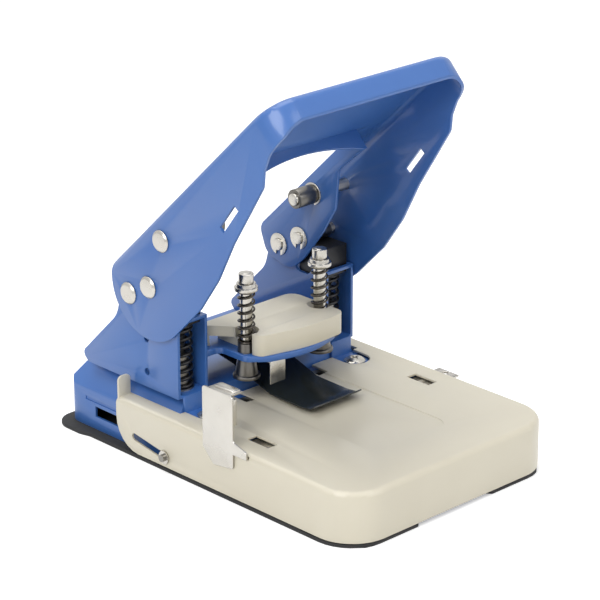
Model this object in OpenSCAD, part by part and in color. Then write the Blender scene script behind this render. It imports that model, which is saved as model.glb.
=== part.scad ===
// Heavy-duty lever paper punch with two spring-returned punches, a sliding paper table and a side gauge.
// X runs to the right, Y to the back and Z up. The origin is the middle of the base's underside.

/* [Base] */
// Width of the rubber mat
mat_w = 232; // [228:1:260]
// Front edge of the mat, measured forward from the origin
mat_front = 170; // [150:1:200]
// Rear edge of the mat, measured back from the origin
mat_rear = 172; // [165:1:200]
// Thickness of the mat
mat_t = 3; // [2:0.5:6]
// Width of the finger recess in the mat's front edge
recess_w = 66; // [40:1:100]
// Depth of the finger recess
recess_d = 9; // [4:1:14]
// Width of the chassis
chassis_w = 208; // [196:1:210]
// Height of the chassis deck under the paper table
deck_z = 41; // [36:0.5:42]
// Height of the raised rear deck that carries the frame
rear_deck_z = 55; // [50:0.5:60]
// Sheet thickness of the chassis
chassis_t = 2; // [1:0.1:3]
// How far each shoulder of the rear housing slopes inwards
shoulder_w = 20; // [10:1:24]
// Height of the shoulder's slope
shoulder_h = 21; // [10:1:30]

/* [Paper table] */
// Width of the table over its side flanges
table_w = 226; // [220:1:230]
// Front edge of the table, measured forward from the origin
table_front = 171; // [168:1:185]
// Height of the table's top face
table_z = 45.4; // [45:0.1:47]
// Sheet thickness of the table
table_t = 1.8; // [1:0.1:2]
// Radius of the table's front corners
table_corner = 34; // [20:1:50]
// Radius of the fold along the table's edges
table_fold = 5; // [3:0.5:8]
// Bottom of the side flanges above the floor
flange_bottom = 4; // [3.5:0.5:8]
// Rear end of the side flanges
flange_rear = 94; // [86:1:100]
// Radius of the flanges' lower rear corner
flange_round = 26; // [8:1:30]
// Width of the side strips that run past the frame
strip_w = 15; // [8:0.5:16]
// Height of the ears above the table
ear_h = 17; // [8:1:20]
// Width of the shallow pressed panel
panel_w = 82; // [40:1:100]
// Front edge of the pressed panel, measured forward from the origin
panel_front = 125; // [100:1:140]
// Depth of the pressed panel
panel_d = 0.6; // [0.3:0.1:0.9]
// How far the table pulls forward
table_travel = 36; // [20:1:36]

/* [Cam rod] */
// Radius of the cam rod
rod_r = 3; // [2:0.1:4]
// Height of the cam rod at rest
rod_z = 12.3; // [10:0.1:14]
// Place of the cam rod along the base
rod_y = 36; // [30:1:40]
// Slope of the flange slots, in degrees
slot_slope = 8.7; // [4:0.1:10]

/* [Side gauge] */
// Width of the gauge bar
gauge_w = 22; // [14:1:26]
// Thickness of the gauge sheet
gauge_t = 1.6; // [1:0.1:1.8]
// Middle of the gauge bar along the base
gauge_y = -49; // [-70:1:-40]
// Height of the gauge's upright plate
gauge_top = 89; // [70:1:100]
// Length of the upright plate
gauge_plate_l = 34; // [20:1:40]
// Width of the lip at the plate's top
gauge_lip = 12; // [4:0.5:12]

/* [Frame] */
// Distance over the outer walls of the two side channels
frame_w = 192; // [186:1:192]
// Width of each side channel
channel_w = 31; // [28:1:33]
// Sheet thickness of the channels
frame_t = 2.5; // [1.5:0.1:3]
// Front edge of the channels
frame_front = 38; // [36:0.5:42]
// Height of the channels' front edge
frame_top = 119; // [112:1:122]
// Tip of the channels' tail
frame_tail = 155; // [145:1:156]

/* [Lever] */
// Lever pivot along the base
pivot_y = 89.6; // [86:0.1:94]
// Lever pivot above the floor
pivot_z = 131.6; // [128:0.1:136]
// Distance over the lever's side plates
lever_w = 201; // [200:1:206]
// Sheet thickness of the lever
lever_t = 2.5; // [1.5:0.1:3]
// Slope of the raised lever, in degrees
lever_slope = 43.5; // [40:0.5:46]
// Length of the lever from its rear corner to the grip
lever_l = 250; // [240:1:262]
// Radius of the grip's corners
grip_corner = 26; // [20:1:44]
// Radius of the fold between the lever's web and its walls
lever_fold = 6; // [4:0.5:8]
// Depth of the grip's front wall
grip_wall = 19; // [14:0.5:21]
// Distance from the lever's rear corner to the web at the grip
window_l = 143; // [138:1:170]
// Depth of the flange along the web's rear edge
window_flange = 20; // [19:0.5:24]
// Depth of that flange at the middle of its arch
window_arch = 10; // [6:0.5:16]
// Travel of the lever, in degrees
lever_travel = 48; // [40:1:48]

/* [Pins] */
// Radius of the three pins on each side
pin_r = 5; // [3:0.1:6]
// Radius of the pin heads
pin_head_r = 9; // [6:0.5:10]
// Radius of the press rollers over the punches
press_roller_r = 8; // [6:0.5:9]
// Radius of the sleeves that push the return plungers
drive_sleeve_r = 6; // [5.5:0.1:6.5]
// Radius of the retaining clips
clip_r = 9.5; // [8:0.5:11]

/* [Head] */
// Spacing of the two punches
punch_spacing = 80; // [70:1:84]
// Punch line along the base
punch_y = 20; // [18:0.5:22]
// Underside of the head plate
head_z = 81.5; // [78:0.5:84]
// Thickness of the head plate
head_t = 5; // [3:0.5:6]
// Height of the head block
block_h = 17.5; // [12:0.5:19]
// Width of the head block
block_w = 86; // [70:1:90]

/* [Punches] */
// Radius of the punch shank
punch_r = 4.9; // [4:0.1:5]
// Radius of the cutting tip
cutter_r = 3; // [2.5:0.1:3.5]
// Punch stroke
punch_stroke = 22.3; // [18:0.1:22.3]
// Height of the punch tip at rest
punch_tip_z = 63; // [62:0.5:64]
// Height of the punch head's top at rest
punch_top_z = 152; // [148:0.5:156]
// Radius of the guide bush
bush_r = 7; // [6:0.1:8]
// Radius of the bush's flange
bush_flange_r = 11; // [9:0.1:11]
// Underside of the guide bush
bush_z = 64.5; // [60:0.5:66]
// Top of the guide bush
bush_top_z = 94; // [90:0.5:96]
// Radius of the spring washer
washer_r = 9.4; // [8:0.1:10]

/* [Springs] */
// Outer radius of the punch springs
punch_spring_r = 7.2; // [6.9:0.1:8]
// Wire diameter of the punch springs
punch_wire = 1.7; // [1:0.1:1.8]
// Curls of each punch spring
punch_curls = 8; // [5:1:10]
// Outer radius of the return springs
return_spring_r = 11; // [10.5:0.1:12]
// Wire diameter of the return springs
return_wire = 2.6; // [2:0.1:3]
// Curls of each return spring
return_curls = 6; // [4:1:8]

/* [Fits] */
// Radial clearance of pins and slides that run
run_gap = 0.05; // [0.02:0.01:0.1]
// Gap between sheets that pass each other
sheet_gap = 0.4; // [0.3:0.1:0.6]

/* [Hidden] */
$fn = 48;
LEFT = -1;
RIGHT = 1;

blue = [0.16, 0.38, 0.75];
beige = [0.80, 0.77, 0.68];
black = [0.07, 0.07, 0.08];
chrome = [0.78, 0.78, 0.80];
steel = [0.55, 0.55, 0.56];
over = 1;

table_under = table_z - table_t;
glide_top = table_under - 0.2;
chassis_front = mat_front - 4;
chassis_rear = mat_rear - 5;
chassis_corner = table_corner - 4;
punch_x = punch_spacing / 2;

frame_out = frame_w / 2;
frame_in = frame_out - channel_w;
channel_mid = frame_out - channel_w / 2;
tongue_t = 2;
tongue_w = channel_w - 9;
screw_r = 3;
screw_head_r = 9;

lever_out = lever_w / 2;
lever_in = lever_out - lever_t;
arm_gap = 1;
arm_out = frame_in - arm_gap;
arm_in = arm_out - lever_t;
// The lever's own frame: u runs along its back edge from the rear corner, v square to it
lever_origin = [pivot_y + 21.4, pivot_z + 19.4];
along = [-cos(lever_slope), sin(lever_slope)];
square_to = [sin(lever_slope), cos(lever_slope)];
function at_lever(u, v) = lever_origin + u * along + v * square_to;
pivot_pin = [pivot_y, pivot_z];
press_pin = at_lever(67.7, -17.3);
drive_at = [27.1, -36.8];
drive_pin = at_lever(drive_at[0], drive_at[1]);

bush_bore = punch_r + run_gap;
washer_z = bush_top_z + 43.5;
washer_t = 3;
plate_top = head_z + head_t;
block_z = plate_top;
block_top = block_z + block_h;
die_r = 8;
die_top = glide_top - 0.2;
die_l = 14;

foot_top = rear_deck_z + frame_t;
return_y = frame_front + 16;
guide_r = return_spring_r - return_wire - 0.6;
plunger_z = 112;
plunger_top = drive_pin[1] - drive_sleeve_r - sheet_gap;
stem_r = 4.5;
guide_top = 88;

bar_z = deck_z + sheet_gap;
slot_rise = tan(slot_slope);

// Points of an outline whose corners are [x, y, radius], each corner rounded by an arc
function unit(v) = v / norm(v);
function turn(v, a) = [v[0] * cos(a) - v[1] * sin(a), v[0] * sin(a) + v[1] * cos(a)];
function xy(p) = [p[0], p[1]];
function corner_arc(before, here, after, r, steps) =
    let (
        back = unit(before - here),
        forth = unit(after - here),
        half = acos(max(-1, min(1, back * forth))) / 2,
        reach = r / tan(half),
        middle = here + unit(back + forth) * (r / sin(half)),
        first = here + back * reach - middle,
        sweep = 180 - 2 * half,
        way = back[0] * forth[1] - back[1] * forth[0] > 0 ? -1 : 1
    )
    [for (i = [0 : steps]) middle + turn(first, way * sweep * i / steps)];
function rounded(corners, steps = 6) =
    let (n = len(corners))
    [for (i = [0 : n - 1])
        let (c = corners[i])
        each c[2] <= 0 ? [xy(c)] :
            corner_arc(xy(corners[(i + n - 1) % n]), xy(c), xy(corners[(i + 1) % n]), c[2], steps)];

// Outline of a bent strip whose one face follows a path and whose other face lies off by the thickness
function across(a, b) = turn(unit(b - a), 90);
function mitre(path, i) =
    let (
        n = len(path),
        before = across(path[max(0, i - 1)], path[max(1, i)]),
        after = across(path[min(n - 2, i)], path[min(n - 1, i + 1)]),
        both = before + after
    )
    both * 2 / (both * both);
function ribbon(path, thick) =
    concat(path, [for (i = [len(path) - 1 : -1 : 0]) path[i] + thick * mitre(path, i)]);

// A flat outline in Y and Z, drawn out along X from x0
module along_x(x0, length) {
    translate([x0, 0, 0]) rotate([90, 0, 90]) linear_extrude(length) children();
}
// A flat outline in X and Z, drawn out along Y from y0
module along_y(y0, length) {
    translate([0, y0 + length, 0]) rotate([90, 0, 0]) linear_extrude(length) children();
}
module rod_x(x0, x1, r, at) {
    translate([x0, at[0], at[1]]) rotate([0, 90, 0]) cylinder(h = x1 - x0, r = r);
}
module on_side(side) {
    if (side < 0) mirror([1, 0, 0]) children();
    else children();
}
module both_sides() {
    for (side = [LEFT, RIGHT]) on_side(side) children();
}
module box(low, high) {
    translate(low) cube(high - low);
}

// A block whose top edge is folded over along its front and both sides, with two round front corners
module folded_block(half, corner, fold, front, rear, bottom, top) {
    corner_y = front + corner;
    // Half section of the edge, measured out from the corner's axis
    edge = concat(
        [[0, bottom], [corner, bottom]],
        [for (a = [0 : 15 : 90]) [corner - fold * (1 - cos(a)), top - fold * (1 - sin(a))]],
        [[0, top]]
    );
    both_sides() {
        along_y(corner_y, rear - corner_y)
            polygon([for (p = edge) [p[0] > 0 ? half - corner + p[0] : 0, p[1]]]);
        along_x(0, half - corner) polygon([for (p = edge) [corner_y - p[0], p[1]]]);
        translate([half - corner, corner_y, 0]) rotate([0, 0, -90])
            rotate_extrude(angle = 90) polygon(edge);
    }
}

// One unbroken tube along a helix that stands on z0, with triangle faces
rings_per_curl = 8;
sides = 6;
function helix_points(r, z0, z1, curls) =
    let (rings = curls * rings_per_curl)
    [for (i = [0 : rings])
        let (a = 360 * i / rings_per_curl)
        [r * cos(a), r * sin(a), z0 + (z1 - z0) * i / rings]];
function least_gap(path, wire) =
    min([for (i = [0 : len(path) - 1], j = [i + rings_per_curl / 2 : 1 : len(path) - 1])
        norm(path[i] - path[j])]) - wire;
module coil(r, wire, z0, z1, curls, label) {
    path = helix_points(r - wire / 2, z0 + wire / 2, z1 - wire / 2, curls);
    rings = len(path);
    lead = atan2(path[rings_per_curl][2] - path[0][2], 2 * PI * (r - wire / 2));
    points = [for (i = [0 : rings - 1], k = [0 : sides - 1])
        let (
            a = 360 * i / rings_per_curl,
            out = [cos(a), sin(a), 0],
            up = [sin(a) * sin(lead), -cos(a) * sin(lead), cos(lead)],
            b = 360 * k / sides
        )
        path[i] + wire / 2 * (cos(b) * out + sin(b) * up)];
    walls = [for (i = [0 : rings - 2], k = [0 : sides - 1])
        let (a = i * sides + k, b = i * sides + (k + 1) % sides)
        each [[a, a + sides, b], [b, a + sides, b + sides]]];
    first_cap = [for (k = [1 : sides - 2]) [0, k, k + 1]];
    last = (rings - 1) * sides;
    last_cap = [for (k = [1 : sides - 2]) [last, last + k + 1, last + k]];
    echo(str(label, " least gap to itself: ", least_gap(path, wire), " mm"));
    polyhedron(points, concat(walls, first_cap, last_cap));
}

// Base

module plan_outline(half_w, front, rear, front_r, rear_r) {
    polygon(rounded([
        [-half_w, -front, front_r], [half_w, -front, front_r],
        [half_w, rear, rear_r], [-half_w, rear, rear_r]
    ], 8));
}

module rubber_mat() {
    color(black)
    linear_extrude(mat_t) difference() {
        plan_outline(mat_w / 2, mat_front, mat_rear, table_corner, 18);
        polygon(rounded([
            [-recess_w / 2 - recess_d, -mat_front - over, 0], [-recess_w / 2, recess_d - mat_front, 5],
            [recess_w / 2, recess_d - mat_front, 5], [recess_w / 2 + recess_d, -mat_front - over, 0]
        ]));
    }
}

module chassis_form(inset, z0) {
    half = chassis_w / 2 - inset;
    top = deck_z - inset;
    rear_top = rear_deck_z - inset;
    knee = rear_deck_z - shoulder_h - inset / 2;
    slope_in = half - shoulder_w;
    front_wall = frame_front + inset;
    rear_wall = chassis_rear - inset;
    translate([0, 0, z0]) linear_extrude(top - z0)
        plan_outline(half, chassis_front - inset, front_wall + over, chassis_corner - inset, 0);
    intersection() {
        along_y(front_wall, rear_wall - front_wall) polygon(rounded([
            [-half, z0, 0], [half, z0, 0], [half, knee, 8], [slope_in, rear_top, 8],
            [-slope_in, rear_top, 8], [-half, knee, 8]
        ]));
        along_x(-half, 2 * half) polygon(rounded([
            [front_wall, z0, 0], [rear_wall, z0, 0], [rear_wall, knee, 10],
            [rear_wall - shoulder_h / 2, rear_top, 10], [front_wall, rear_top, 0]
        ]));
        translate([0, 0, z0]) linear_extrude(rear_top - z0)
            plan_outline(half, -front_wall, rear_wall, 0, 14);
    }
}

module chassis() {
    color(blue)
    difference() {
        chassis_form(0, mat_t);
        chassis_form(chassis_t, mat_t - over);
        both_sides() {
            // Die seats, screw holes, the upright slots of the cam rod and the long slots in the side walls
            translate([punch_x, punch_y, deck_z - chassis_t - over])
                cylinder(h = chassis_t + 2 * over, r = die_r + run_gap);
            for (y = [punch_y, return_y + 56])
                translate([channel_mid, y, deck_z - 2 * chassis_t])
                    cylinder(h = rear_deck_z - deck_z + 4 * chassis_t, r = screw_r + run_gap);
            box([chassis_w / 2 - 4 * chassis_t, rod_y - rod_r - run_gap, rod_z - rod_r - run_gap],
                [chassis_w / 2 + over, rod_y + rod_r + run_gap,
                 rod_z + table_travel * slot_rise + rod_r + 2 * run_gap + sheet_gap]);
            box([chassis_w / 2 - 2 * chassis_t, flange_rear - 10, 14],
                [chassis_w / 2 + over, flange_rear + 37, 23]);
            box([chassis_w / 2 - chassis_t / 2, flange_rear - 3, rear_deck_z - shoulder_h - 8],
                [chassis_w / 2 + over, flange_rear + 49, rear_deck_z - shoulder_h - 5]);
        }
    }
}

module table_glides() {
    color(black)
    both_sides() {
        box([46, 6 - chassis_front, deck_z], [54, 56 - chassis_front, glide_top]);
        box([52, punch_y - 48, deck_z], [60, punch_y - 8, glide_top]);
    }
}

// Paper table

module table_shell(inset, z0) {
    folded_block(table_w / 2 - inset, table_corner - inset, table_fold - inset,
        inset - table_front, flange_rear + (inset > 0 ? over : 0), z0, table_z - inset);
}

module table() {
    rear_edge = frame_front - 4;
    color(beige)
    difference() {
        union() {
            difference() {
                table_shell(0, flange_bottom);
                table_shell(table_t, flange_bottom - over);
            }
            both_sides() along_y(flange_rear - table_t, table_t) polygon(rounded([
                [table_w / 2 - strip_w + 1, table_under, 0], [table_w / 2 - table_t, table_under, 0],
                [table_w / 2 - table_t, table_z + ear_h, 4],
                [table_w / 2 - strip_w + 1, table_z + ear_h, 4]
            ]));
        }
        // The middle ends in front of the frame, and only the side strips run on
        box([strip_w - table_w / 2, rear_edge, flange_bottom - over],
            [table_w / 2 - strip_w, flange_rear + 2 * over, table_z + over]);
        both_sides() {
            translate([0, 0, table_under - over]) linear_extrude(table_t + 2 * over) {
                // Slot round the frame's foot
                translate([channel_mid, punch_y]) circle(r = tongue_w / 2 + 1.5);
                translate([channel_mid - tongue_w / 2 - 1.5, punch_y])
                    square([tongue_w + 3, rear_edge - punch_y + over]);
                // Slot over the die
                translate([punch_x - cutter_r - 2, punch_y - cutter_r - 2])
                    square([2 * cutter_r + 4, rear_edge - punch_y + cutter_r + 2 + over]);
                // Window over the gauge bar
                translate([table_w / 2 - 30, gauge_y - gauge_w / 2 - 1]) square([10, gauge_w + 2]);
            }
            // Shallow pressed panel under the paper's middle
            translate([0, 0, table_z - panel_d]) linear_extrude(over) polygon(rounded([
                [-over, -panel_front, 0], [panel_w / 2, -panel_front, 14],
                [panel_w / 2, rear_edge + over, 0], [-over, rear_edge + over, 0]
            ]));
            // Rounded rear end of the flange
            along_x(table_w / 2 - 2 * table_t, 2 * table_t + over) polygon(concat(
                [for (a = [0 : 15 : 90]) [flange_rear - flange_round * (1 - sin(a)),
                                          flange_bottom + flange_round * (1 - cos(a))]],
                [[flange_rear + over, flange_bottom + flange_round],
                 [flange_rear + over, flange_bottom - over],
                 [flange_rear - flange_round, flange_bottom - over]]
            ));
            // Slanted slot for the cam rod
            translate([table_w / 2 - 2 * table_t, rod_y, rod_z]) rotate([slot_slope, 0, 0]) {
                slot_l = table_travel / cos(slot_slope);
                slot_r = rod_r + 2 * run_gap;
                along_x(0, 3 * table_t) polygon(rounded([
                    [-slot_r, -slot_r, slot_r], [slot_l + slot_r, -slot_r, slot_r],
                    [slot_l + slot_r, slot_r, slot_r], [-slot_r, slot_r, slot_r]
                ], 8));
            }
            // Mouth that the gauge bar slides through
            box([table_w / 2 - table_fold - table_t, gauge_y - gauge_w / 2 - sheet_gap, deck_z],
                [table_w / 2 + over, gauge_y + gauge_w / 2 + sheet_gap, bar_z + gauge_t + sheet_gap]);
        }
    }
}

module side_gauge() {
    outer = table_w / 2 + sheet_gap;
    plate_rear = gauge_y + gauge_w / 2 - 7 + gauge_plate_l;
    plate_front = plate_rear - gauge_plate_l;
    tip = table_w / 2 + 7;
    color(chrome) {
        difference() {
            box([-outer, gauge_y - gauge_w / 2, bar_z], [tip, gauge_y + gauge_w / 2, bar_z + gauge_t]);
            translate([tip - 5, gauge_y, bar_z - over]) cylinder(h = gauge_t + 2 * over, r = 2.6);
        }
        along_x(-outer - gauge_t, gauge_t) polygon(rounded([
            [gauge_y - gauge_w / 2, bar_z, 0], [plate_front, bar_z, 0], [plate_front, bar_z - 12, 2],
            [plate_rear - 12, bar_z - 15, 2], [plate_rear, bar_z - 3, 2], [plate_rear, gauge_top, 3],
            [plate_front, gauge_top, 3], [plate_front, bar_z + 10, 3], [gauge_y - gauge_w / 2, bar_z + 6, 2]
        ]));
        box([-outer, plate_front + 3, gauge_top - gauge_t],
            [gauge_lip - outer, plate_rear - 6, gauge_top]);
    }
}

module cam_rod() {
    reach = table_w / 2 + 4;
    color(steel) rod_x(-reach, reach, rod_r, [rod_y, rod_z]);
}

module rod_clips() {
    color(chrome)
    both_sides() difference() {
        rod_x(table_w / 2 + sheet_gap, table_w / 2 + sheet_gap + 1.2, rod_r + 2.4, [rod_y, rod_z]);
        rod_x(table_w / 2, table_w / 2 + 3, rod_r, [rod_y, rod_z]);
    }
}

// Frame

module channel_outline() {
    boss = 3 * pin_r;
    dip = frame_top - 7;
    polygon(rounded([
        [frame_front, rear_deck_z, 2], [frame_tail - 7, rear_deck_z, 5], [frame_tail, rear_deck_z + 7, 5],
        [pivot_y + boss + 6, dip - 6, 24], [pivot_y + boss, pivot_z - 4, 10],
        [pivot_y + boss, pivot_z + boss, boss - 0.2], [pivot_y - boss, pivot_z + boss, boss - 0.2],
        [pivot_y - boss, dip, 6], [frame_front + 21, dip, 6], [frame_front + 15, frame_top, 4],
        [frame_front, frame_top, 3]
    ]));
}

module frame_channel() {
    lip = 4;
    difference() {
        union() {
            along_x(frame_out - frame_t, frame_t) channel_outline();
            along_x(frame_in, frame_t) channel_outline();
            // Foot between the walls, lip over the open front, and the tongue that is screwed to the deck
            box([frame_in, frame_front, rear_deck_z], [frame_out, frame_tail - 8, foot_top]);
            box([frame_in, frame_front, frame_top - frame_t], [frame_out, frame_front + lip, frame_top]);
            box([channel_mid - tongue_w / 2, frame_front - frame_t, deck_z],
                [channel_mid + tongue_w / 2, frame_front, foot_top]);
            box([channel_mid - tongue_w / 2, punch_y, deck_z],
                [channel_mid + tongue_w / 2, frame_front, deck_z + tongue_t]);
            translate([channel_mid, punch_y, deck_z]) cylinder(h = tongue_t, r = tongue_w / 2);
        }
        rod_x(frame_in - over, frame_out + over, pin_r + run_gap, pivot_pin);
        for (z = [rear_deck_z + 13, rear_deck_z + 41])
            rod_x(frame_out - 2 * frame_t, frame_out + over, 3, [return_y + 21, z]);
        translate([channel_mid, punch_y, deck_z - over]) cylinder(h = tongue_t + 2 * over, r = screw_r);
        translate([channel_mid, return_y + 56, rear_deck_z - over])
            cylinder(h = frame_t + 2 * over, r = screw_r);
    }
}
module frame_left() { color(blue) on_side(LEFT) frame_channel(); }
module frame_right() { color(blue) on_side(RIGHT) frame_channel(); }

module screw(seat, length) {
    head = 3.2;
    translate([0, 0, seat - length]) cylinder(h = length, r = screw_r);
    translate([0, 0, seat]) difference() {
        rotate_extrude() polygon([[0, 0], [screw_head_r, 0], [screw_head_r, 1], [screw_head_r - 2, 2.4],
                                  [screw_head_r - 5, head], [0, head]]);
        for (a = [0, 90]) rotate([0, 0, a])
            translate([-4, -0.8, 1.4]) cube([8, 1.6, head]);
    }
}

module frame_screws() {
    color(chrome)
    both_sides() {
        translate([channel_mid, punch_y, 0]) screw(deck_z + tongue_t, 10);
        translate([channel_mid, return_y + 56, 0]) screw(foot_top, 10);
    }
}

// Return springs inside the channels

module return_guide() {
    translate([channel_mid, return_y, foot_top]) difference() {
        union() {
            cylinder(h = guide_top - foot_top, r = guide_r);
            cylinder(h = 1.5, r = return_spring_r + 0.5);
        }
        translate([0, 0, 1.5]) cylinder(h = guide_top, r = stem_r + run_gap);
    }
}
module return_guide_left() { color(steel) on_side(LEFT) return_guide(); }
module return_guide_right() { color(steel) on_side(RIGHT) return_guide(); }

module return_spring(label) {
    translate([channel_mid, return_y, 0])
        coil(return_spring_r, return_wire, foot_top + 1.5 + 0.1, plunger_z - 0.1, return_curls, label);
}
module return_spring_left() { color(black) on_side(LEFT) return_spring("return_spring_left"); }
module return_spring_right() { color(black) on_side(RIGHT) return_spring("return_spring_right"); }

module return_plunger() {
    half = channel_w / 2 - frame_t - sheet_gap;
    box([channel_mid - half, frame_front + 5, plunger_z],
        [channel_mid + half, drive_pin[0] + drive_sleeve_r, plunger_top]);
    translate([channel_mid, return_y, guide_top - 5])
        cylinder(h = plunger_z - guide_top + 5, r = stem_r);
}
module return_plunger_left() { color(steel) on_side(LEFT) return_plunger(); }
module return_plunger_right() { color(steel) on_side(RIGHT) return_plunger(); }

// Head that holds the punches

module head_plate() {
    wing_front = frame_front + 2;
    half = punch_x + bush_r + 3;
    color(blue)
    difference() {
        translate([0, 0, head_z]) linear_extrude(head_t) polygon(rounded([
            [-frame_in, wing_front, 0], [-half, wing_front, 6], [-half, punch_y - 9, 8],
            [-block_w / 2 + 8, punch_y - 22, 8], [0, punch_y - 32, 70], [block_w / 2 - 8, punch_y - 22, 8],
            [half, punch_y - 9, 8], [half, wing_front, 6], [frame_in, wing_front, 0],
            [frame_in, wing_front + 42, 0], [-frame_in, wing_front + 42, 0]
        ]));
        for (x = [-punch_x, punch_x])
            translate([x, punch_y, head_z - over]) cylinder(h = head_t + 2 * over, r = bush_r);
    }
}

module head_block() {
    rear = frame_front + 17;
    half = block_w / 2;
    notch = bush_r + 3;
    color(beige)
    difference() {
        translate([0, 0, block_z]) linear_extrude(block_h) polygon(rounded([
            [-half, punch_y - 18, 8], [0, punch_y - 29, 90], [half, punch_y - 26, 8], [half, rear, 10],
            [-half - 14, rear, 3], [-half - 14, rear - 6, 3], [-half, punch_y + 12, 3]
        ]));
        for (x = [-punch_x, punch_x])
            translate([x, punch_y, block_z - over]) cylinder(h = block_h + 2 * over, r = notch);
        // Window under the left wing
        box([-half - 12, punch_y + 8, block_z - over], [-half + 4, rear + over, block_z + block_h / 2]);
    }
}

module paper_tongue() {
    thick = 1.2;
    wide = 16;
    front = punch_y - 21;
    color(chrome)
    translate([-block_w / 2 + 8, 0, 0]) {
        box([0, front, head_z - thick], [wide, punch_y - bush_r - 1, head_z]);
        box([0, front - thick, head_z - 19], [wide, front, head_z]);
    }
}

module hold_down_strip() {
    wide = 52;
    leg = frame_front + 40;
    low = table_z + 3.4;
    color(black)
    along_x(-wide / 2, wide) polygon(ribbon([
        [leg, head_z], [leg, low + 20], [leg - 4, low + 18], [punch_y + 31, low + 14],
        [punch_y - 12, low + 0.6],
        [punch_y - 46, low], [punch_y - 57, low + 1], [punch_y - 62, low + 4.5]
    ], 1.2));
}

// Punches

module guide_bush(x) {
    translate([x, punch_y, 0]) difference() {
        union() {
            translate([0, 0, bush_z]) cylinder(h = bush_top_z - bush_z, r = bush_r);
            translate([0, 0, bush_z]) cylinder(h = 2.4, r = bush_flange_r);
            translate([0, 0, bush_z + 2.4]) cylinder(h = 1.6, r1 = bush_flange_r, r2 = bush_r + 1);
        }
        translate([0, 0, bush_z - over]) cylinder(h = bush_top_z, r = bush_bore);
    }
}
module guide_bush_left() { color(steel) guide_bush(-punch_x); }
module guide_bush_right() { color(steel) guide_bush(punch_x); }

module die(x) {
    translate([x, punch_y, die_top - die_l]) difference() {
        cylinder(h = die_l, r = die_r);
        translate([0, 0, -over]) cylinder(h = die_l + 2 * over, r = cutter_r + 2 * run_gap);
    }
}
module die_left() { color(steel) die(-punch_x); }
module die_right() { color(steel) die(punch_x); }

module punch(x) {
    cutter_l = 14;
    dome = 1.5;
    translate([x, punch_y, 0]) {
        translate([0, 0, punch_tip_z]) cylinder(h = cutter_l, r = cutter_r);
        translate([0, 0, punch_tip_z + cutter_l])
            cylinder(h = punch_top_z - dome - punch_tip_z - cutter_l, r = punch_r);
        translate([0, 0, punch_top_z - dome]) cylinder(h = dome, r1 = punch_r, r2 = punch_r - dome);
    }
}
module punch_left() { color(chrome) punch(-punch_x); }
module punch_right() { color(chrome) punch(punch_x); }

module punch_washer(x) {
    translate([x, punch_y, washer_z]) difference() {
        union() {
            cylinder(h = washer_t, r = washer_r);
            translate([0, 0, washer_t]) cylinder(h = washer_t, r = washer_r - 1.6);
        }
        translate([0, 0, -over]) cylinder(h = 3 * washer_t, r = punch_r);
    }
}
module punch_washer_left() { color(chrome) punch_washer(-punch_x); }
module punch_washer_right() { color(chrome) punch_washer(punch_x); }

module punch_spring(x, label) {
    translate([x, punch_y, 0])
        coil(punch_spring_r, punch_wire, bush_top_z + 0.1, washer_z - 0.1, punch_curls, label);
}
module punch_spring_left() { color(black) punch_spring(-punch_x, "punch_spring_left"); }
module punch_spring_right() { color(black) punch_spring(punch_x, "punch_spring_right"); }

// Lever

module in_lever_frame() {
    translate([0, lever_origin[0], lever_origin[1]]) rotate([-lever_slope, 0, 0]) children();
}
// Places a side view drawn in the lever's own u and v
module in_side_view() {
    translate(lever_origin) rotate(-lever_slope) mirror([1, 0]) children();
}
module lever_outline() {
    hub_r = 44;
    intersection() {
        union() {
            translate(drive_at) circle(r = hub_r);
            polygon(rounded([
                [27, 0, 0], [lever_l, 0, 0], [lever_l, -grip_wall, 3], [lever_l - 11, -grip_wall - 7.5, 10],
                [lever_l - 29, -30.5, 14], [lever_l - 41, -36, 8], [lever_l - 51, -44.8, 10],
                [172, -51.8, 40], [140, -60, 40], [104, -72.5, 40], [69, -79.5, 14],
                [drive_at[0], drive_at[1] - hub_r, 0]
            ], 8));
        }
        translate([-hub_r, -2 * hub_r]) square([lever_l + 2 * hub_r, 2 * hub_r]);
    }
}
// The drawn pan that the lever is cut from, open to the rear, with its fold rounded
module lever_pan(inset) {
    folded_block(lever_out - inset, grip_corner - inset, lever_fold - inset,
        inset - lever_l, 30 + (inset > 0 ? over : 0), -110, -inset);
}

module lever() {
    lip = lever_fold + 1;
    slot_u = 149.5;
    slot_v = -43.5;
    slot_l = 27;
    slot_w = 5.5;
    flange_half = arm_out;
    color(blue)
    difference() {
        union() {
            difference() {
                // Side plates, web and front wall are drawn from one sheet
                intersection() {
                    in_lever_frame() difference() {
                        lever_pan(0);
                        lever_pan(lever_t);
                    }
                    along_x(-lever_out, 2 * lever_out) in_side_view() lever_outline();
                }
                // Window from the rear end up to the grip
                in_lever_frame()
                    box([lip - lever_in, -window_l, -lever_t - over], [lever_in - lip, 40, over]);
            }
            // Flange along the web's rear edge, arched between the arms
            in_lever_frame() along_y(-window_l - lever_t, lever_t) polygon(concat(
                [[-flange_half, -window_flange], [-flange_half, -lever_t / 2],
                 [flange_half, -lever_t / 2], [flange_half, -window_flange]],
                [for (x = [1 : -1 / 8 : -1])
                    [x * arm_in, -window_flange + (window_flange - window_arch) * (1 - x * x)]]
            ));
        }
        for (at = [pivot_pin, press_pin, drive_pin])
            rod_x(-lever_out - over, lever_out + over, pin_r, at);
        in_lever_frame() translate([0, -slot_u, slot_v]) rotate([-9, 0, 0])
            box([-lever_out - over, -slot_l / 2, -slot_w / 2], [lever_out + over, slot_l / 2, slot_w / 2]);
    }
}

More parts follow.
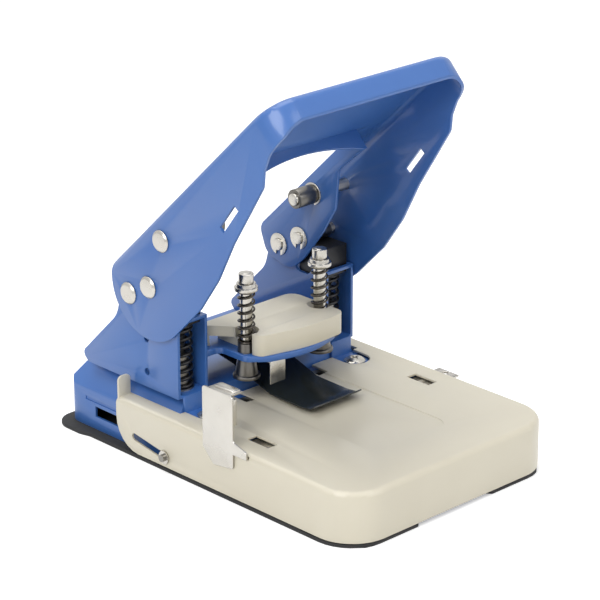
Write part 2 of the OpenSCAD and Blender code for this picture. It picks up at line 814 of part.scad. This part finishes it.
module lever_arm() {
    difference() {
        along_x(arm_in, lever_t) polygon(rounded([for (c = [
            [-8, -5, 10], [118, -4, 14], [window_l, -13, 2], [window_l, 0.5 - window_flange, 1],
            [107, -17.5, 8], [81, -40, 12], [55, -47, 20], [20, -52.5, 20], [-2, -52, 20], [-17, -26.6, 14]
        ]) let (p = at_lever(c[0], c[1])) [p[0], p[1], c[2]]]));
        for (at = [pivot_pin, press_pin, drive_pin])
            rod_x(arm_in - over, arm_out + over, pin_r, at);
    }
}
module lever_arm_left() { color(blue) on_side(LEFT) lever_arm(); }
module lever_arm_right() { color(blue) on_side(RIGHT) lever_arm(); }

module pin(at, inner) {
    head_rise = 2.6;
    rod_x(inner, lever_out, pin_r, at);
    translate([lever_out, at[0], at[1]]) rotate([0, 90, 0])
        rotate_extrude() polygon([[0, 0], [pin_head_r, 0], [pin_head_r, 1],
                                  [pin_head_r - 2, head_rise], [0, head_rise]]);
}
clip_t = 1.2;
clip_in = arm_in - clip_t;
pin_end = clip_in - 1.4;
press_end = punch_x - 1;
roller_out = clip_in - sheet_gap;

module pivot_pins() { color(chrome) both_sides() pin(pivot_pin, pin_end); }
module drive_pins() { color(chrome) both_sides() pin(drive_pin, pin_end); }
module press_pins() { color(chrome) both_sides() pin(press_pin, press_end); }

module drive_sleeves() {
    half = channel_w / 2 - frame_t - sheet_gap;
    color(steel)
    both_sides() difference() {
        rod_x(channel_mid - half, channel_mid + half, drive_sleeve_r, drive_pin);
        rod_x(0, lever_out, pin_r, drive_pin);
    }
}

module press_rollers() {
    color(chrome)
    both_sides() difference() {
        rod_x(press_end + 2, roller_out, press_roller_r, press_pin);
        rod_x(0, lever_out, pin_r, press_pin);
    }
}

module clip(x0, at) {
    difference() {
        rod_x(x0, x0 + clip_t, clip_r, at);
        rod_x(x0 - over, x0 + clip_t + over, pin_r, at);
        // Open mouth of the clip
        translate([x0 - over, at[0] - 2.4, at[1] - clip_r - over])
            cube([clip_t + 2 * over, 4.8, clip_r]);
    }
}
module retaining_clips() {
    color(chrome)
    both_sides() for (at = [pivot_pin, drive_pin, press_pin])
        clip(clip_in, at);
}

rubber_mat();
chassis();
table_glides();
frame_left();
frame_right();
frame_screws();
head_plate();
head_block();
paper_tongue();
hold_down_strip();
guide_bush_left();
guide_bush_right();
die_left();
die_right();
punch_spring_left();
punch_spring_right();
return_guide_left();
return_guide_right();
return_spring_left();
return_spring_right();
lever();
lever_arm_left();
lever_arm_right();
pivot_pins();
drive_pins();
press_pins();
drive_sleeves();
press_rollers();
retaining_clips();
punch_left();
punch_right();
punch_washer_left();
punch_washer_right();
return_plunger_left();
return_plunger_right();
table();
side_gauge();
cam_rod();
rod_clips();
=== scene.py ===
import math

import bpy
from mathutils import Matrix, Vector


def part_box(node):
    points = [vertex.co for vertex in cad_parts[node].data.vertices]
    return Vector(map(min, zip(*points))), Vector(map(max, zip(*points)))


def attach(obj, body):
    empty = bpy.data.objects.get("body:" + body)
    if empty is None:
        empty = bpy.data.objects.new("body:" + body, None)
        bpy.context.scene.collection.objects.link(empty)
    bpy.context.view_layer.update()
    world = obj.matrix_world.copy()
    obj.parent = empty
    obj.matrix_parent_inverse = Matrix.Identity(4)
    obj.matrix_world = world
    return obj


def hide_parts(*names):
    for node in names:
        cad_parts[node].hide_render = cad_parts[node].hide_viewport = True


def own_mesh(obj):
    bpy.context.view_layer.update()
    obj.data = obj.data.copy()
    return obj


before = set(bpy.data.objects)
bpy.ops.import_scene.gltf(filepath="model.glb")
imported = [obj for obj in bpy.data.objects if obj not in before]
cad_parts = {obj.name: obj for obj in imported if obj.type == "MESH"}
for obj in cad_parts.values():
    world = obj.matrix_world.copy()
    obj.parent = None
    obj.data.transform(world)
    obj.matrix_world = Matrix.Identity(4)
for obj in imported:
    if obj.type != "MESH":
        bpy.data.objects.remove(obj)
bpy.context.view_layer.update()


# Rubber mat: one moulded sheet of black rubber that the whole machine stands on.
# It clips under the chassis and also closes the room where the paper chips fall.
# Its sides are drawn in, so that it stands out only at two ears at the rear.
def mm(value):
    return value / 1000.0


def pick(piece):
    bpy.ops.object.select_all(action="DESELECT")
    piece.select_set(True)
    bpy.context.view_layer.objects.active = piece


def surface_grain():
    """Shader group: a fine grain and a broad cloud, both laid out on the piece itself."""
    group = bpy.data.node_groups.get("surface_grain")
    if group:
        return group
    group = bpy.data.node_groups.new("surface_grain", "ShaderNodeTree")
    for name, start in (("Grain Scale", 900.0), ("Cloud Scale", 18.0)):
        made = group.interface.new_socket(name, in_out="INPUT", socket_type="NodeSocketFloat")
        made.default_value = start
    for name in ("Grain", "Cloud"):
        group.interface.new_socket(name, in_out="OUTPUT", socket_type="NodeSocketFloat")
    entry = group.nodes.new("NodeGroupInput")
    leave = group.nodes.new("NodeGroupOutput")
    place = group.nodes.new("ShaderNodeTexCoord")
    for socket, detail in (("Grain", 3.0), ("Cloud", 5.0)):
        noise = group.nodes.new("ShaderNodeTexNoise")
        noise.inputs["Detail"].default_value = detail
        group.links.new(place.outputs["Object"], noise.inputs["Vector"])
        group.links.new(entry.outputs[socket + " Scale"], noise.inputs["Scale"])
        group.links.new(noise.outputs["Fac"], leave.inputs[socket])
    return group


def linear(colour):
    """A colour as it is seen on a screen, 0 to 255, in the renderer's own scale."""
    steps = [c / 255.0 for c in colour]
    flat = [c / 12.92 if c <= 0.04045 else ((c + 0.055) / 1.055) ** 2.4 for c in steps]
    return (*flat, 1.0)


def finish(name, low, high, rough, metallic, grain, cloud, bump, coat=0.0):
    """A material between two colours and two roughnesses, with its grain as bump."""
    material = bpy.data.materials.get(name)
    if material:
        return material
    material = bpy.data.materials.new(name)
    material.use_nodes = True
    nodes, links = material.node_tree.nodes, material.node_tree.links
    shader = nodes["Principled BSDF"]
    shader.inputs["Metallic"].default_value = metallic
    shader.inputs["Coat Weight"].default_value = coat
    shader.inputs["Coat Roughness"].default_value = 0.12
    texture = nodes.new("ShaderNodeGroup")
    texture.node_tree = surface_grain()
    texture.inputs["Grain Scale"].default_value = grain
    texture.inputs["Cloud Scale"].default_value = cloud
    tint = nodes.new("ShaderNodeMix")
    tint.data_type = "RGBA"
    tint.inputs["A"].default_value = linear(low)
    tint.inputs["B"].default_value = linear(high)
    links.new(texture.outputs["Cloud"], tint.inputs["Factor"])
    links.new(tint.outputs["Result"], shader.inputs["Base Color"])
    gloss = nodes.new("ShaderNodeMapRange")
    gloss.inputs["To Min"].default_value = rough[0]
    gloss.inputs["To Max"].default_value = rough[1]
    links.new(texture.outputs["Cloud"], gloss.inputs["Value"])
    links.new(gloss.outputs["Result"], shader.inputs["Roughness"])
    dents = nodes.new("ShaderNodeBump")
    dents.inputs["Strength"].default_value = bump
    dents.inputs["Distance"].default_value = mm(0.15)
    links.new(texture.outputs["Grain"], dents.inputs["Height"])
    links.new(dents.outputs["Normal"], shader.inputs["Normal"])
    return material


def dress(material, *nodes):
    for node in nodes:
        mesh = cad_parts[node].data
        mesh.materials.clear()
        mesh.materials.append(material)


def eased_copy(node, body, material, edge, smooth=38):
    """A copy of a node with its sharp edges eased, as after deburring and coating."""
    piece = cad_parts[node].copy()
    piece.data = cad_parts[node].data.copy()
    piece.name = node + "_eased"
    piece.parent = None
    for key in list(piece.keys()):
        del piece[key]
    bpy.context.scene.collection.objects.link(piece)
    pick(piece)
    bpy.ops.object.mode_set(mode="EDIT")
    bpy.ops.mesh.select_all(action="SELECT")
    bpy.ops.mesh.remove_doubles(threshold=mm(0.005))
    bpy.ops.mesh.dissolve_limited(angle_limit=math.radians(0.5))
    bpy.ops.object.mode_set(mode="OBJECT")
    ease = piece.modifiers.new("eased_edges", "BEVEL")
    ease.width = mm(edge)
    ease.segments = 2
    ease.limit_method = "ANGLE"
    ease.angle_limit = math.radians(smooth)
    ease.harden_normals = False
    bpy.ops.object.modifier_apply(modifier=ease.name)
    bpy.ops.object.shade_smooth_by_angle(angle=math.radians(smooth))
    piece.data.materials.clear()
    piece.data.materials.append(material)
    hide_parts(node)
    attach(piece, body)
    return piece


mat_rubber = finish("mat_rubber", (20, 20, 21), (34, 34, 35), (0.6, 0.85), 0.0, 1400, 30, 0.5)
mat = eased_copy("rubber_mat", "base", mat_rubber, 0.8)
ear_front, ear_root = mm(138.0), mm(128.0)
mat_half, side_half, rim_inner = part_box("rubber_mat")[1][0], mm(113.3), mm(95)
bpy.ops.object.mode_set(mode="EDIT")
for cut in (ear_front, ear_root):
    bpy.ops.mesh.select_all(action="SELECT")
    bpy.ops.mesh.bisect(plane_co=(0, cut, 0), plane_no=(0, 1, 0))
bpy.ops.object.mode_set(mode="OBJECT")
for vertex in mat.data.vertices:
    if vertex.co.y < ear_root + mm(0.1) and abs(vertex.co.x) > rim_inner:
        vertex.co.x *= side_half / mat_half


# Chassis: a pan folded from steel sheet with a raised rear deck, powder coated in blue.
# The dies, the channels and the slides of the paper table are all fixed to it.
blue_coat = finish(
    "blue_coat", (44, 90, 158), (60, 106, 172), (0.36, 0.48), 0.0, 700, 14, 0.12, 0.35)
eased_copy("chassis", "base", blue_coat, 0.7)


# Slides of the paper table: flat strips of black nylon glued to the deck.
# The table's sheet runs on them when it is pulled forward.
black_nylon = finish("black_nylon", (22, 22, 24), (36, 36, 38), (0.38, 0.55), 0.0, 1100, 24, 0.25)
dress(black_nylon, "table_glides")


# Side channels: each is bent from one sheet of steel, open to the front and coated in blue.
# A tongue at the front of each one takes a screw into the deck.
for channel in ("frame_left", "frame_right"):
    eased_copy(channel, "base", blue_coat, 0.5)


# Frame screws: plated pan-head screws with a cross recess.
# They hold the channels' feet down on the deck.
bright_plate = finish(
    "bright_plate", (172, 168, 160), (200, 197, 190), (0.20, 0.34), 1.0, 1600, 40, 0.06)
eased_copy("frame_screws", "base", bright_plate, 0.25)


# Guide plate of the head: a flat blue plate that joins the two channels.
# The sleeves of the punches are pressed into its two holes.
eased_copy("head_plate", "base", blue_coat, 0.5)


# Head block: a casting coated in beige, screwed down on the guide plate from below.
# Its edges are rounded by the mould and softened further by the coat.
beige_coat = finish(
    "beige_coat", (198, 191, 172), (211, 205, 187), (0.34, 0.48), 0.0, 800, 12, 0.15, 0.15)
eased_copy("head_block", "base", beige_coat, 1.6, 30)


# Tongue under the block: a short strip of plated spring steel, bent down at its front.
# It keeps the paper's edge from riding up between the punches.
eased_copy("paper_tongue", "base", bright_plate, 0.3)


# Hold-down strip: a bent leaf of black plastic that hangs from the guide plate.
# Its front lip is turned up so that paper slides in under it.
glossy_leaf = finish("glossy_leaf", (26, 30, 29), (42, 46, 45), (0.18, 0.30), 0.0, 1100, 24, 0.10)
eased_copy("hold_down_strip", "base", glossy_leaf, 0.35)


# Guide sleeves and dies: turned and ground steel, with a flange where a sleeve meets the paper.
# Sleeves are pressed into the guide plate and dies into the deck. Below the plate each sleeve
# widens in a taper towards its flange.
turned_steel = finish(
    "turned_steel", (112, 110, 106), (150, 147, 142), (0.24, 0.38), 1.0, 1300, 60, 0.08)
dark_steel = finish("dark_steel", (94, 92, 88), (122, 119, 114), (0.26, 0.42), 1.0, 1300, 60, 0.12)


def settle(piece, edge, body, material):
    """Fix a new solid in its place, ease its edges and let it ride on its body."""
    bpy.ops.object.transform_apply(location=True, rotation=True, scale=True)
    ease = piece.modifiers.new("eased_edges", "BEVEL")
    ease.width = mm(edge)
    ease.segments = 3
    ease.limit_method = "ANGLE"
    ease.angle_limit = math.radians(30)
    bpy.ops.object.modifier_apply(modifier=ease.name)
    bpy.ops.object.shade_smooth_by_angle(angle=math.radians(38))
    piece.data.materials.append(material)
    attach(piece, body)


flange_t, taper_top, taper_foot = mm(2.4), mm(7.1), mm(9.4)
for sleeve in ("guide_bush_left", "guide_bush_right"):
    eased_copy(sleeve, "base", dark_steel, 0.25)
    low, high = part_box(sleeve)
    skirt_low = low[2] + flange_t
    skirt_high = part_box("head_plate")[0][2] - mm(0.05)
    bpy.ops.object.select_all(action="DESELECT")
    bpy.ops.mesh.primitive_cone_add(
        vertices=64, radius1=taper_foot, radius2=taper_top, depth=skirt_high - skirt_low,
        location=((low[0] + high[0]) / 2, (low[1] + high[1]) / 2, (skirt_low + skirt_high) / 2))
    skirt = bpy.context.object
    skirt.name = sleeve.replace("guide_bush", "sleeve_skirt")
    settle(skirt, 0.5, "base", dark_steel)
dress(turned_steel, "die_left", "die_right", "return_guide_left", "return_guide_right")


# Springs: round wire wound cold, with the last turn of each end closed so that it stands flat.
# The thin pair lifts the punches and the thick black pair lifts the lever.
def wound_spring(name, middle, outer, wire, low, high, turns):
    around = 14
    steps = 24
    closed = 0.75
    bpy.ops.object.select_all(action="DESELECT")
    bpy.ops.mesh.primitive_circle_add(vertices=around, radius=mm(wire / 2), rotation=(math.pi / 2, 0, 0))
    piece = bpy.context.object
    piece.name = name
    bpy.ops.object.transform_apply(location=True, rotation=True, scale=True)
    bpy.ops.object.mode_set(mode="EDIT")
    bpy.ops.mesh.select_all(action="SELECT")
    bpy.ops.transform.translate(value=(mm(outer - wire / 2), 0, mm(low + wire / 2)))
    bpy.ops.object.mode_set(mode="OBJECT")
    wind = piece.modifiers.new("wind", "SCREW")
    wind.angle = 2 * math.pi * turns
    wind.screw_offset = 0.0
    wind.steps = wind.render_steps = int(steps * turns)
    wind.use_merge_vertices = False
    bpy.ops.object.modifier_apply(modifier=wind.name)
    rise = mm(high - low - wire)
    for vertex in piece.data.vertices:
        turn = (vertex.index // around) / steps
        share = (turn - closed) / (turns - 2 * closed)
        vertex.co.z += rise * min(1.0, max(0.0, share))
        vertex.co.x += mm(middle[0])
        vertex.co.y += mm(middle[1])
    bpy.ops.object.mode_set(mode="EDIT")
    bpy.ops.mesh.select_all(action="SELECT")
    bpy.ops.mesh.fill_holes(sides=0)
    bpy.ops.mesh.select_all(action="SELECT")
    bpy.ops.mesh.normals_make_consistent(inside=False)
    bpy.ops.object.mode_set(mode="OBJECT")
    bpy.ops.object.shade_smooth_by_angle(angle=math.radians(50))
    return piece


punch_line = 20.0
spring_wire = finish("spring_wire", (62, 58, 53), (96, 91, 84), (0.24, 0.40), 1.0, 1500, 70, 0.08)
black_wire = finish("black_wire", (18, 18, 19), (34, 34, 36), (0.30, 0.48), 0.3, 1500, 50, 0.15)
for side, sign in (("left", -1), ("right", 1)):
    thin = wound_spring(
        "punch_coil_" + side, (sign * 40.0, punch_line),
        outer=7.2, wire=1.7, low=94.1, high=137.4, turns=8.0)
    thin.data.materials.append(spring_wire)
    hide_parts("punch_spring_" + side)
    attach(thin, "base")
    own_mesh(thin)
    thick = wound_spring(
        "return_coil_" + side, (sign * 80.5, 54.0),
        outer=11.0, wire=2.6, low=59.1, high=111.9, turns=9.0)
    thick.data.materials.append(black_wire)
    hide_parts("return_spring_" + side)
    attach(thick, "base")
    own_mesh(thick)


# Return plungers: blocks of blackened steel that ride between the walls of the channels.
# The sleeves on the lever's drive pins press them down on the thick springs.
dress(black_wire, "return_plunger_left", "return_plunger_right")


# Lever: one steel sheet drawn to a shallow pan, so that its sides and its front wall run into
# each other. It is coated in blue like the chassis, and its web runs on in two short strips
# beside the window.
eased_copy("lever", "lever", blue_coat, 0.7)
slope = math.radians(43.5)
hub_y, hub_z = 111.0, 151.0
strip_u, strip_v = (116.0, 143.2), (-2.45, -0.05)
strip_x = (64.6, 91.4)
mid_u, mid_v = sum(strip_u) / 2, sum(strip_v) / 2
for side, sign in (("left", -1), ("right", 1)):
    bpy.ops.object.select_all(action="DESELECT")
    bpy.ops.mesh.primitive_cube_add(size=1)
    strip = bpy.context.object
    strip.name = "lever_web_strip_" + side
    strip.scale = [mm(high - low) for low, high in (strip_x, strip_u, strip_v)]
    strip.rotation_euler = (-slope, 0, 0)
    strip.location = (
        sign * mm(sum(strip_x) / 2),
        mm(hub_y - mid_u * math.cos(slope) + mid_v * math.sin(slope)),
        mm(hub_z + mid_u * math.sin(slope) + mid_v * math.cos(slope)))
    settle(strip, 0.5, "lever", blue_coat)


# Inner arms of the lever: flat blue plates that run beside the channels up to the web.
# Three pins on each side tie them to the lever's side plates.
for arm in ("lever_arm_left", "lever_arm_right"):
    eased_copy(arm, "lever", blue_coat, 0.5)


# Pins, rollers and clips: turned and plated steel, the heads peened outside the lever.
# Spring clips snap on at the inner ends.
for fitting in ("pivot_pins", "drive_pins", "press_pins", "retaining_clips"):
    eased_copy(fitting, "lever", bright_plate, 0.3)
eased_copy("press_rollers", "lever", dark_steel, 0.3)
dress(turned_steel, "drive_sleeves")


# Punches: hardened steel rods, ground bright, each with a stepped washer that holds its spring.
# The lower end of each one is turned down to the size of the hole, and a cap takes the roller.
cap_radius, rod_proud = mm(6.0), mm(0.4)
for side in ("left", "right"):
    eased_copy("punch_" + side, "punch_" + side, bright_plate, 0.3)
    eased_copy("punch_washer_" + side, "punch_" + side, bright_plate, 0.3)
    low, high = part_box("punch_" + side)
    cap_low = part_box("punch_washer_" + side)[1][2]
    cap_high = high[2] - rod_proud
    bpy.ops.object.select_all(action="DESELECT")
    bpy.ops.mesh.primitive_cylinder_add(
        vertices=64, radius=cap_radius, depth=cap_high - cap_low,
        location=((low[0] + high[0]) / 2, (low[1] + high[1]) / 2, (cap_low + cap_high) / 2))
    cap = bpy.context.object
    cap.name = "punch_cap_" + side
    settle(cap, 0.6, "punch_" + side, bright_plate)


# Paper table: a tray pressed from steel sheet, with folded sides, coated in beige.
# It slides forward on the deck, led by the slanted slots in its sides.
eased_copy("table", "paper_table", beige_coat, 0.35, 40)


# Side gauge: a plated sheet bar under the table with an upright plate at its left end.
# The paper's edge is laid against the plate, whose front edge is folded in and whose top has a
# thick tab for the thumb.
eased_copy("side_gauge", "gauge", bright_plate, 0.6)
plate_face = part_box("side_gauge")[0][0] + mm(1.6)
plate_front, plate_top = mm(-45.0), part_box("side_gauge")[1][2]
table_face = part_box("table")[1][2]
for name, edge, size, place in (
        ("gauge_front_fold", 0.7, (mm(4.0), mm(1.6), plate_top - mm(3.0) - table_face - mm(2.0)),
         (plate_face + mm(1.4), plate_front + mm(0.85), (plate_top - mm(1.0) + table_face) / 2)),
        ("gauge_top_tab", 1.4, (mm(8.4), mm(21.0), mm(3.2)),
         (plate_face + mm(7.6), plate_front + mm(15.0), plate_top - mm(0.2)))):
    bpy.ops.object.select_all(action="DESELECT")
    bpy.ops.mesh.primitive_cube_add(size=1, location=place)
    sheet = bpy.context.object
    sheet.name = name
    sheet.scale = size
    settle(sheet, edge, "gauge", bright_plate)


# Cam rod: a plain steel rod across the chassis, with a spring clip at each end.
# It lies in the slanted slots and lifts as the table comes forward.
dress(turned_steel, "cam_rod")
dress(bright_plate, "rod_clips")


# Studio: a pale floor, a soft key from the left, a fill from the front and a light above.
# The camera stands at the photograph's place.
def soft_lamp(name, place, aim, size, power):
    lamp = bpy.data.lights.new(name, "AREA")
    lamp.size = size
    lamp.energy = power
    holder = bpy.data.objects.new(name, lamp)
    bpy.context.scene.collection.objects.link(holder)
    holder.location = place
    way = [a - p for a, p in zip(aim, place)]
    flat = math.hypot(way[0], way[1])
    holder.rotation_euler = (math.atan2(flat, -way[2]), 0, math.atan2(way[1], way[0]) - math.pi / 2)


def seen_directly(nodes, links):
    """One where the camera, a mirror or glass looks at the studio, and nought for its light."""
    path = nodes.new("ShaderNodeLightPath")
    shown = path.outputs["Is Camera Ray"]
    for ray in ("Is Glossy Ray", "Is Transmission Ray"):
        either = nodes.new("ShaderNodeMath")
        either.operation = "MAXIMUM"
        links.new(shown, either.inputs[0])
        links.new(path.outputs[ray], either.inputs[1])
        shown = either.outputs[0]
    return shown


bpy.ops.object.select_all(action="DESELECT")
bpy.ops.mesh.primitive_plane_add(size=12)
floor = bpy.context.object
floor.name = "studio_floor"
paper = bpy.data.materials.new("studio_paper")
paper.use_nodes = True
nodes, links = paper.node_tree.nodes, paper.node_tree.links
paper_shader = nodes["Principled BSDF"]
paper_shader.inputs["Base Color"].default_value = (0.92, 0.92, 0.92, 1)
paper_shader.inputs["Roughness"].default_value = 0.9
paper_shader.inputs["Emission Color"].default_value = (1, 1, 1, 1)
glow = nodes.new("ShaderNodeMath")
glow.operation = "MULTIPLY"
glow.inputs[1].default_value = 0.34
links.new(seen_directly(nodes, links), glow.inputs[0])
links.new(glow.outputs[0], paper_shader.inputs["Emission Strength"])
floor.data.materials.append(paper)

world = bpy.data.worlds.new("studio")
bpy.context.scene.world = world
world.use_nodes = True
nodes, links = world.node_tree.nodes, world.node_tree.links
sky = nodes["Background"]
sky.inputs["Color"].default_value = (1, 1, 1, 1)
sky.inputs["Strength"].default_value = 0.26
white = nodes.new("ShaderNodeBackground")
white.inputs["Color"].default_value = (1, 1, 1, 1)
white.inputs["Strength"].default_value = 1.0
blend = nodes.new("ShaderNodeMixShader")
links.new(seen_directly(nodes, links), blend.inputs["Fac"])
links.new(sky.outputs[0], blend.inputs[1])
links.new(white.outputs[0], blend.inputs[2])
links.new(blend.outputs[0], nodes["World Output"].inputs["Surface"])

aim = (0.0, 0.0, 0.12)
soft_lamp("key", (-1.8, -0.6, 1.6), aim, 1.2, 33)
soft_lamp("fill", (0.4, -1.7, 1.6), aim, 1.4, 19)
soft_lamp("top", (0.1, 0.5, 1.9), aim, 1.6, 24)

eye = bpy.data.cameras.new("photo_camera")
eye.lens = 159.3
eye.sensor_width = 36.0
eye.clip_start = 0.05
viewer = bpy.data.objects.new("photo_camera", eye)
bpy.context.scene.collection.objects.link(viewer)
viewer.location = (-1.3468, -1.4000, 0.8792)
viewer.rotation_euler = (math.radians(68.75), 0, math.radians(-43.87))
bpy.context.scene.camera = viewer
bpy.context.scene.view_settings.view_transform = "Standard"
